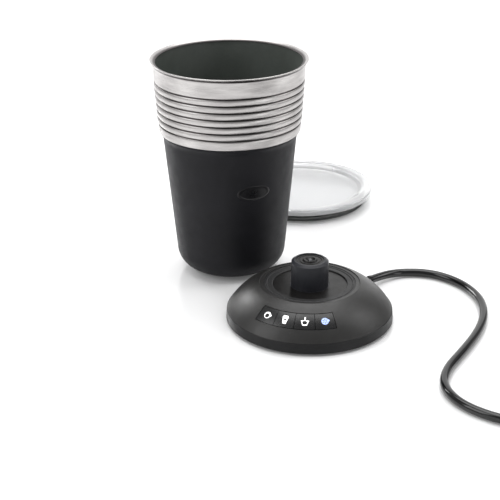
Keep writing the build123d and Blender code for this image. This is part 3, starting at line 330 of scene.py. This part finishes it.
SURFACES = {
    "dome_plastic": dict(
        dark=(0.017, 0.0165, 0.016), light=(0.022, 0.0215, 0.021),
        rough=(0.34, 0.42), grain=2800.0, bump=0.3, specular=0.42,
    ),
    "tray_plastic": dict(
        dark=(0.007, 0.007, 0.0075), light=(0.010, 0.010, 0.0105),
        rough=(0.34, 0.44), grain=2800.0, bump=0.15, specular=0.22,
    ),
    "ring_rubber": dict(
        dark=(0.011, 0.011, 0.0115), light=(0.016, 0.016, 0.0165),
        rough=(0.42, 0.55), grain=2200.0, bump=0.25, specular=0.35,
    ),
    "plate_black": dict(
        dark=(0.0045, 0.004, 0.004), light=(0.008, 0.0075, 0.007),
        rough=(0.30, 0.42), grain=1600.0, bump=0.15, specular=0.25,
    ),
    "post_plastic": dict(
        dark=(0.016, 0.017, 0.021), light=(0.022, 0.023, 0.028),
        rough=(0.36, 0.46), grain=2400.0, bump=0.2, specular=0.3,
    ),
    "contact_steel": dict(
        dark=(0.45, 0.45, 0.46), light=(0.6, 0.6, 0.6),
        rough=(0.15, 0.25), grain=900.0, bump=0.05, metallic=1.0,
    ),
    "dark_steel": dict(
        dark=(0.05, 0.05, 0.055), light=(0.09, 0.09, 0.095),
        rough=(0.18, 0.28), grain=900.0, bump=0.05, metallic=1.0,
    ),
    "key_black": dict(
        dark=(0.006, 0.006, 0.0065), light=(0.009, 0.009, 0.0095),
        rough=(0.22, 0.30), grain=2600.0, bump=0.08,
    ),
    "board_green": dict(
        dark=(0.008, 0.09, 0.035), light=(0.02, 0.15, 0.06),
        rough=(0.3, 0.45), grain=600.0, bump=0.2,
    ),
    "component_dark": dict(
        dark=(0.018, 0.018, 0.02), light=(0.03, 0.03, 0.033),
        rough=(0.35, 0.5), grain=1200.0, bump=0.2,
    ),
    "copper": dict(
        dark=(0.55, 0.22, 0.10), light=(0.74, 0.34, 0.16),
        rough=(0.25, 0.4), grain=900.0, bump=0.2, metallic=1.0,
    ),
    "ferrite": dict(
        dark=(0.03, 0.028, 0.028), light=(0.05, 0.047, 0.047),
        rough=(0.55, 0.7), grain=1500.0, bump=0.3,
    ),
    "zinc_steel": dict(
        dark=(0.42, 0.42, 0.42), light=(0.58, 0.58, 0.57),
        rough=(0.28, 0.42), grain=800.0, bump=0.12, metallic=1.0,
    ),
    "magnet_steel": dict(
        dark=(0.5, 0.5, 0.5), light=(0.62, 0.61, 0.6),
        rough=(0.12, 0.22), grain=700.0, bump=0.05, metallic=1.0,
    ),
    "bronze": dict(
        dark=(0.42, 0.24, 0.11), light=(0.55, 0.34, 0.17),
        rough=(0.35, 0.5), grain=1500.0, bump=0.25, metallic=1.0,
    ),
    "white_plastic": dict(
        dark=(0.62, 0.61, 0.57), light=(0.72, 0.71, 0.67),
        rough=(0.35, 0.45), grain=1800.0, bump=0.1,
    ),
    "sleeve_silicone": dict(
        dark=(0.0085, 0.0085, 0.0105), light=(0.0110, 0.0110, 0.0135),
        rough=(0.44, 0.54), grain=3200.0, bump=0.2, specular=0.17,
    ),
    "emblem": dict(
        dark=(0.004, 0.004, 0.005), light=(0.006, 0.006, 0.007),
        rough=(0.26, 0.34), grain=2600.0, bump=0.1, specular=0.3,
    ),
    "foot_plastic": dict(
        dark=(0.014, 0.014, 0.015), light=(0.02, 0.02, 0.022),
        rough=(0.4, 0.5), grain=2400.0, bump=0.2,
    ),
    "seal_silicone": dict(
        dark=(0.10, 0.103, 0.10), light=(0.14, 0.143, 0.14),
        rough=(0.4, 0.52), grain=1400.0, bump=0.1,
    ),
    "seal_red": dict(
        dark=(0.35, 0.03, 0.02), light=(0.45, 0.05, 0.03),
        rough=(0.4, 0.5), grain=1400.0, bump=0.1,
    ),
    "aluminium_plate": dict(
        dark=(0.6, 0.6, 0.61), light=(0.7, 0.7, 0.7),
        rough=(0.3, 0.4), grain=1200.0, bump=0.1, metallic=1.0,
    ),
    "cord_pvc": dict(
        dark=(0.003, 0.003, 0.0032), light=(0.005, 0.005, 0.0055),
        rough=(0.09, 0.16), grain=1100.0, bump=0.06,
    ),
    "pin_brass": dict(
        dark=(0.6, 0.58, 0.5), light=(0.7, 0.68, 0.6),
        rough=(0.15, 0.25), grain=800.0, bump=0.05, metallic=1.0,
    ),
}
SLOTS = {name: surface(name, **values) for name, values in SURFACES.items()}
SLOTS |= {
    "icon_white": lit_icon("icon_white", (1.0, 1.0, 1.0), 0.9),
    "icon_blue": lit_icon("icon_blue", (0.42, 0.53, 0.95), 0.75),
    "band_steel": brushed_steel("band_steel"),
    "pot_coating": coated_pot("pot_coating"),
    "lid_clear": clear_plastic("lid_clear"),
}


def dress(piece, slot):
    piece.data.materials.clear()
    piece.data.materials.append(SLOTS[slot])


def dress_cad_nodes():
    """Every CAD node takes the material of its slot in the record."""
    for row in frame["record"]["subparts"]:
        node = frame["nodes"][row["node"]]
        dress(node, row["material_slot"])
        node.data.polygons.foreach_set("use_smooth", [True] * len(node.data.polygons))
        node.data.set_sharp_from_angle(angle=math.radians(CAD_EDGE))


dress_cad_nodes()


# ------------------------------------------------------------------ turned pieces
def rounded(points, arc_steps=5):
    """Outline with its corners rounded: each point is (radius, height) or (radius, height, corner)."""
    result = []
    for index, point in enumerate(points):
        corner = point[2] if len(point) > 2 else 0.0
        here = Vector(point[:2])
        if not corner:
            result.append(here)
            continue
        back = Vector(points[index - 1][:2]) - here
        ahead = Vector(points[(index + 1) % len(points)][:2]) - here
        reach = min(corner, back.length * 0.49, ahead.length * 0.49)
        start, end = here + back.normalized() * reach, here + ahead.normalized() * reach
        for step in range(arc_steps + 1):
            t = step / arc_steps
            result.append(start * (1 - t) ** 2 + here * 2 * t * (1 - t) + end * t**2)
    return result


def lathe(name, outline, centre, body, slot, replaced):
    """Closed solid of revolution from an outline of radius and height pairs in millimetres."""
    mesh = bpy.data.meshes.new(name)
    work = bmesh.new()
    rings = []
    for radius, height in outline:
        if radius < 1e-6:
            rings.append([work.verts.new((0, 0, height * MM))] * ROUND)
            continue
        ring = []
        for step in range(ROUND):
            angle = 2 * math.pi * step / ROUND
            place = (radius * MM * math.cos(angle), radius * MM * math.sin(angle), height * MM)
            ring.append(work.verts.new(place))
        rings.append(ring)
    for lower, upper in zip(rings, rings[1:] + rings[:1]):
        for step in range(ROUND):
            after = (step + 1) % ROUND
            corners = []
            for vertex in (lower[step], lower[after], upper[after], upper[step]):
                if vertex not in corners:
                    corners.append(vertex)
            if len(corners) > 2:
                work.faces.new(corners)
    bmesh.ops.recalc_face_normals(work, faces=work.faces)
    work.to_mesh(mesh)
    work.free()
    mesh.polygons.foreach_set("use_smooth", [True] * len(mesh.polygons))
    mesh.set_sharp_from_angle(angle=math.radians(TURNED_EDGE))
    piece = bpy.data.objects.new(name, mesh)
    bpy.context.scene.collection.objects.link(piece)
    piece.location = centre
    dress(piece, slot)
    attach(piece, body)
    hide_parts(replaced)


def band_radius(height):
    share = (height - BAND_LOW) / (BAND_TOP - BAND_LOW)
    return BAND_LOW_R + share * (BAND_TOP_R - BAND_LOW_R)


def band_skin():
    """The collar's outside: rounded beads between narrow grooves, plain above and below."""
    groove_last = GROOVE_FIRST + (GROOVE_COUNT - 1) * GROOVE_PITCH
    heights = [GROOVE_FIRST - 2.4]
    for step in range((GROOVE_COUNT - 1) * STEPS_PER_BEAD + 1):
        heights.append(GROOVE_FIRST + step * GROOVE_PITCH / STEPS_PER_BEAD)
    heights += [GROOVE_FIRST - 1.6, GROOVE_FIRST - 0.9, GROOVE_FIRST - 0.4]
    heights += [groove_last + 0.4, groove_last + 0.9, groove_last + 1.6, groove_last + 2.4]
    skin = []
    for height in sorted(heights):
        if height < GROOVE_FIRST or height > groove_last:
            away = min(abs(height - GROOVE_FIRST), abs(height - groove_last))
            relief = -GROOVE_DEPTH * math.exp(-(away / GROOVE_REACH) ** 2)
        else:
            away = abs(((height - GROOVE_FIRST + GROOVE_PITCH / 2) % GROOVE_PITCH) - GROOVE_PITCH / 2)
            share = min(1.0, away / (GROOVE_PITCH / 2))
            bead = BEAD_RISE * math.sin(share * math.pi / 2)
            relief = -GROOVE_DEPTH * math.exp(-(away / GROOVE_REACH) ** 2) + bead
        skin.append((band_radius(height) + relief, height))
    return skin


def make_steel_band():
    lip = [
        (BAND_TOP_R - 0.12, 163.2),
        (BAND_TOP_R + 0.2, 164.0, 0.8),
        (LIP_R - 0.35, LIP_TOP - 0.95, 0.6),
        (LIP_R, LIP_TOP - 0.35, 0.4),
        (LIP_R - 0.45, LIP_TOP, 0.4),
        (LIP_R - 1.3, LIP_TOP - 0.3, 0.4),
        (56.2, 164.9, 1.2),
        (54.8, 164.55, 0.2),
        (54.8, 164.25),
        (56.25, 164.25),
        (BAND_TOP_R - 0.85, 163.6),
    ]
    inside = [
        (BAND_LOW_R - 0.65, BAND_LOW + 0.8, 0.3),
        (50.7, BAND_LOW + 0.8),
        (50.7, BAND_LOW),
        (BAND_LOW_R - 0.1, BAND_LOW, 0.5),
        (BAND_LOW_R + 0.12, BAND_LOW + 0.9, 0.4),
    ]
    outline = rounded([*band_skin(), *lip, *inside])
    lathe("steel_collar", outline, CUP, "cup", "band_steel", "steel_band")


def arc(centre, radius, first, last, steps):
    """Points of an arc between two angles in degrees."""
    points = []
    for step in range(steps + 1):
        turn = math.radians(first + (last - first) * step / steps)
        points.append((centre[0] + radius * math.cos(turn), centre[1] + radius * math.sin(turn)))
    return points


def make_sleeve():
    corner = arc((25.32, 17.8), 16.5, -67.55, -5.5, 22)
    outline = rounded([
        *corner,
        (50.5, 107.4, 2.0),
        (52.2, 110.4, 1.6),
        (52.2, 111.7, 0.5),
        (49.9, 111.7),
        (47.6, 108.1),
        (37.6, 15.5),
        (35.6, 9.4),
        (31.62, 6.0),
    ], 10)
    lathe("grip_sleeve", outline, CUP, "cup", "sleeve_silicone", "silicone_sleeve")


def make_pot():
    outline = rounded([
        (15.4, 7.1),
        (15.4, 21.6),
        (0, 21.6),
        (0, 22.4),
        (16.2, 22.4, 1.6),
        (16.2, 8.0, 1.0),
        (35.6, 8.0, 8.2),
        (46.5, 108.5, 6.0),
        (51.7, 116.5, 6.0),
        (55.4, 164.0, 0.3),
        (56.15, 164.2, 0.2),
        (52.4, 116.5, 6.0),
        (47.2, 108.5, 6.0),
        (36.3, 7.1, 9.0),
    ], 8)
    lathe("coated_pot", outline, CUP, "cup", "pot_coating", "inner_pot")


LID_R, LID_SKIRT_R = 62.4, 60.4
LID_TOP, LID_RIM, LID_FLOOR = 13.4, 8.4, 10.2
LID_PLUG_R = 53.5
SEAL_IN, SEAL_R, SEAL_FIN_R = 53.55, 54.4, 56.3
SEAL_LOW, SEAL_TOP = 0.2, 8.8
FIN_COUNT, FIN_FIRST, FIN_PITCH = 3, 0.7, 2.7


def make_lid():
    """Clear plate with a turned-down rim and a plug, and the finned seal round the plug."""
    plate = rounded([
        (LID_R, LID_RIM, 0.5),
        (LID_R, LID_TOP, 0.9),
        (56.0, LID_TOP, 1.2),
        (49.3, LID_FLOOR, 1.4),
        (0, LID_FLOOR),
        (0, 8.2),
        (51.5, 8.2, 0.6),
        (51.5, 0.0, 0.5),
        (LID_PLUG_R, 0.0, 0.5),
        (LID_PLUG_R, 11.4, 0.5),
        (LID_SKIRT_R, 11.4, 0.5),
        (LID_SKIRT_R, LID_RIM),
    ])
    lathe("clear_lid", plate, LID, "lid", "lid_clear", "lid_plate")
    seal = [(SEAL_IN, SEAL_LOW, 0.2), (SEAL_R, SEAL_LOW, 0.3)]
    for fin in range(FIN_COUNT):
        low = FIN_FIRST + FIN_PITCH * fin
        seal += [(SEAL_R, low, 0.2), (SEAL_FIN_R, low + 0.5, 0.3)]
        seal += [(SEAL_FIN_R, low + 1.0, 0.3), (SEAL_R, low + 1.4, 0.2)]
    seal += [(SEAL_R, SEAL_TOP, 0.3), (SEAL_IN, SEAL_TOP, 0.2)]
    lathe("lid_gasket", rounded(seal), LID, "lid", "seal_silicone", "lid_seal")


make_steel_band()
make_sleeve()
make_pot()
make_lid()


# ------------------------------------------------------------------ emblem on the sleeve
EMBLEM_BEARING = math.radians(-68.0)
EMBLEM_HEIGHT = 76.0
EMBLEM_HALF = (13.0, 5.75)
BADGE_AROUND, BADGE_RINGS = 160, 46  # points round the badge, and rings from its middle
BADGE_EDGE, BADGE_BACK = 0.02, -0.3  # offsets from the sleeve at the edge and at the back


SLEEVE_FOOT, SLEEVE_FOOT_R = 1.3, 40.3
SLEEVE_SHOULDER, SLEEVE_SHOULDER_R = 107.4, 50.5


def sleeve_radius(height):
    share = (height - SLEEVE_FOOT) / (SLEEVE_SHOULDER - SLEEVE_FOOT)
    return SLEEVE_FOOT_R + share * (SLEEVE_SHOULDER_R - SLEEVE_FOOT_R)


def emblem_relief(share):
    """Height of the badge above the sleeve, in millimetres: one soft rim round a blank field."""
    return 0.06 + 0.26 * math.exp(-((share - 0.9) / 0.07) ** 2)


def make_emblem():
    """Blank oval badge that follows the sleeve: a rimmed front over a flat back, as one closed mesh."""
    around, rings = BADGE_AROUND, BADGE_RINGS
    work = bmesh.new()

    def vertex(share, angle, lift):
        up = EMBLEM_HEIGHT + EMBLEM_HALF[1] * share * math.sin(angle)
        radius = sleeve_radius(up) + lift
        bearing = EMBLEM_BEARING + EMBLEM_HALF[0] * share * math.cos(angle) / sleeve_radius(up)
        place = (radius * MM * math.cos(bearing), radius * MM * math.sin(bearing), up * MM)
        return work.verts.new(place)

    loops = []
    for ring in range(1, rings + 1):
        share = ring / rings
        lift = emblem_relief(share) if ring < rings else BADGE_EDGE
        loops.append([vertex(share, 2 * math.pi * a / around, lift) for a in range(around)])
    back = [vertex(1.0, 2 * math.pi * a / around, BADGE_BACK) for a in range(around)]
    front_middle = vertex(0, 0, emblem_relief(0))
    back_middle = vertex(0, 0, BADGE_BACK)
    for a in range(around):
        b = (a + 1) % around
        work.faces.new((front_middle, loops[0][a], loops[0][b]))
        work.faces.new((back_middle, back[b], back[a]))
        for inner, outer in zip(loops, [*loops[1:], back]):
            work.faces.new((inner[a], outer[a], outer[b], inner[b]))
    bmesh.ops.recalc_face_normals(work, faces=work.faces)
    mesh = bpy.data.meshes.new("oval_badge")
    work.to_mesh(mesh)
    work.free()
    mesh.polygons.foreach_set("use_smooth", [True] * len(mesh.polygons))
    badge = bpy.data.objects.new("oval_badge", mesh)
    bpy.context.scene.collection.objects.link(badge)
    badge.location = CUP
    dress(badge, "emblem")
    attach(badge, "cup")
    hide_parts("emblem_badge")


make_emblem()


# ------------------------------------------------------------------ whisk spring
WHISK_RING_R, WHISK_RING_HEIGHT = 24.3, 13.2
WHISK_COIL_R, WHISK_WIRE_R = 1.9, 0.38
WHISK_TURNS, POINTS_PER_TURN = 46, 12


def make_whisk_spring():
    """The whisk's ring: a fine wire wound round the ring's line."""
    curve = bpy.data.curves.new("whisk_spring", "CURVE")
    curve.dimensions = "3D"
    curve.bevel_depth = WHISK_WIRE_R * MM
    curve.bevel_resolution = 3
    curve.resolution_u = 2
    spline = curve.splines.new("NURBS")
    count = WHISK_TURNS * POINTS_PER_TURN
    spline.points.add(count - 1)
    for step, point in enumerate(spline.points):
        round_ring = 2 * math.pi * step / count
        round_wire = 2 * math.pi * step / POINTS_PER_TURN
        radius = WHISK_RING_R + WHISK_COIL_R * math.cos(round_wire)
        point.co = (
            radius * MM * math.cos(round_ring),
            radius * MM * math.sin(round_ring),
            (WHISK_RING_HEIGHT + WHISK_COIL_R * math.sin(round_wire)) * MM,
            1.0,
        )
    spline.order_u = 3
    spline.use_cyclic_u = True
    spring = bpy.data.objects.new("whisk_spring", curve)
    bpy.context.scene.collection.objects.link(spring)
    spring.location = CUP
    dress(spring, "contact_steel")
    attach(spring, "whisk")
    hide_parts("whisk_coil")


make_whisk_spring()

dress(cord, "cord_pvc")
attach(cord, "base")
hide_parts("power_cord", "cord_coil", "cord_tail")


# ------------------------------------------------------------------ floor and light
FLOOR_HALF = 6.0  # metres
FLOOR_GAP = 0.0002  # keeps the floor clear of the feet's undersides


def make_floor():
    mesh = bpy.data.meshes.new("floor")
    low, high = -FLOOR_HALF, FLOOR_HALF
    mesh.from_pydata([(low, low, 0), (high, low, 0), (high, high, 0), (low, high, 0)], [], [(0, 1, 2, 3)])
    floor = bpy.data.objects.new("floor", mesh)
    bpy.context.scene.collection.objects.link(floor)
    floor.location.z = -FLOOR_GAP
    material, tree, shader = blank("floor_white")
    white = two_tone(tree, noise(tree, 1.5), (0.85, 0.85, 0.853), (0.865, 0.865, 0.868))
    tree.links.new(white, shader.inputs["Base Color"])
    tree.links.new(spread(tree, noise(tree, 3.0), 0.10, 0.16), shader.inputs["Roughness"])
    shader.inputs["IOR"].default_value = 1.65
    shader.inputs["Emission Color"].default_value = (1, 1, 1, 1)
    shader.inputs["Emission Strength"].default_value = 0.07
    mesh.materials.append(material)


def area_light(name, at, aim, size, power):
    light = bpy.data.lights.new(name, "AREA")
    light.shape = "RECTANGLE"
    light.size, light.size_y = size
    light.energy = power
    lamp = bpy.data.objects.new(name, light)
    bpy.context.scene.collection.objects.link(lamp)
    lamp.location = at
    lamp.rotation_euler = (Vector(aim) - Vector(at)).to_track_quat("-Z", "Y").to_euler()


def make_light():
    area_light("left_box", (-1.5, -0.6, 1.1), (0, 0, 0.06), (0.9, 1.3), 11.0)
    area_light("right_box", (1.5, 0.1, 1.2), (0, 0, 0.06), (0.7, 1.3), 9.0)
    area_light("front_left", (-1.3, -1.6, 0.35), (0, 0, 0.12), (1.0, 0.5), 2.0)
    area_light("front_right", (1.45, -1.3, 0.4), (0, 0, 0.12), (0.7, 0.7), 4.0)
    area_light("left_rear", (-0.95, 1.0, 0.65), (0, 0, 0.03), (0.5, 0.5), 7.0)
    area_light("top_box", (0.0, 0.4, 2.1), (0, 0, 0), (2.0, 2.0), 44.0)
    area_light("back_panel", (0.0, 2.6, 1.0), (0, 0, 0.5), (4.0, 2.4), 30.0)
    world = bpy.data.worlds.new("studio")
    bpy.context.scene.world = world
    world.use_nodes = True
    backdrop = world.node_tree.nodes["Background"]
    backdrop.inputs["Color"].default_value = (1.0, 1.0, 1.0, 1)
    backdrop.inputs["Strength"].default_value = 0.36


make_floor()
make_light()
bpy.context.scene.view_settings.view_transform = "Standard"
